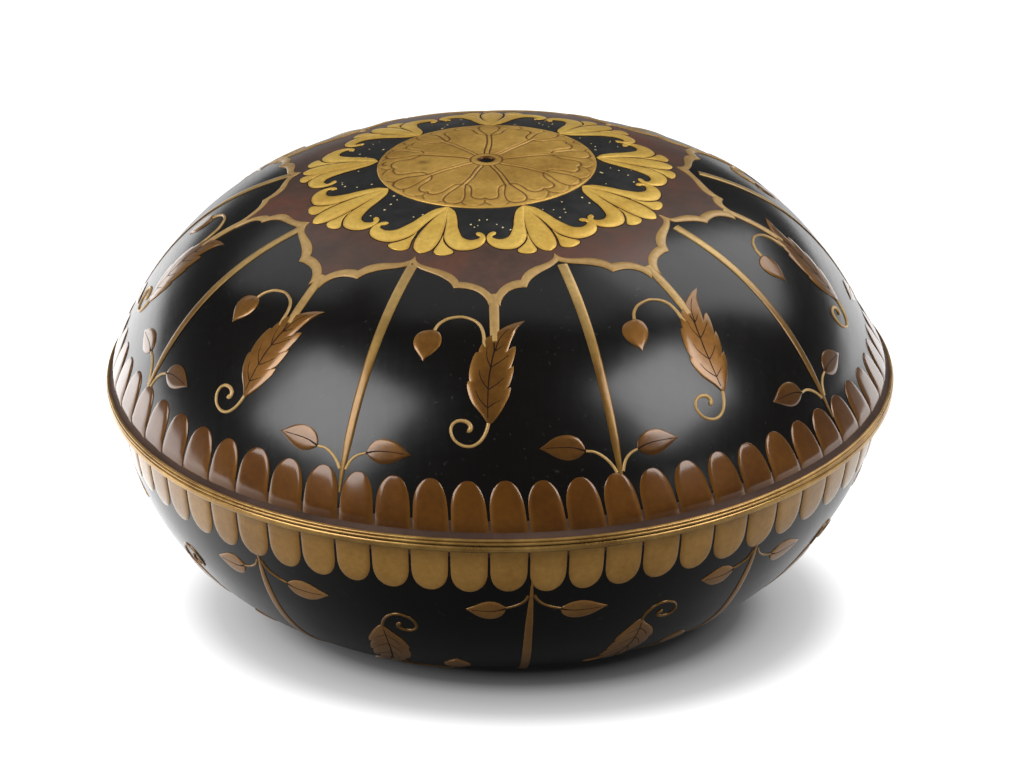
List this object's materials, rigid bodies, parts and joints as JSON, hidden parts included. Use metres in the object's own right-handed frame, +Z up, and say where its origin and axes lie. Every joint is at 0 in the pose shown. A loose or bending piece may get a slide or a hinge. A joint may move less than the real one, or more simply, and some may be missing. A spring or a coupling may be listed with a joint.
{
  "type": "lacquer box",
  "caption": "Round domed box in black lacquer with raised gold ornament; the lid lifts off a deep bowl with a low foot ring.",
  "frame": {"origin": "under the middle of the foot ring, on the surface that the box stands on", "axes": "+Z up along the box's turning axis; +X to the right and +Y away as the box is seen from its front"},
  "size_m": [0.2454, 0.2454, 0.1431],
  "materials": {
    "black_lacquer": "gloss",
    "red_brown_lacquer": "satin",
    "aged_gold": "satin"
  },
  "bodies": {
    "root": {"lid": "black_lacquer", "bowl": "black_lacquer"}
  },
  "joints": []
}
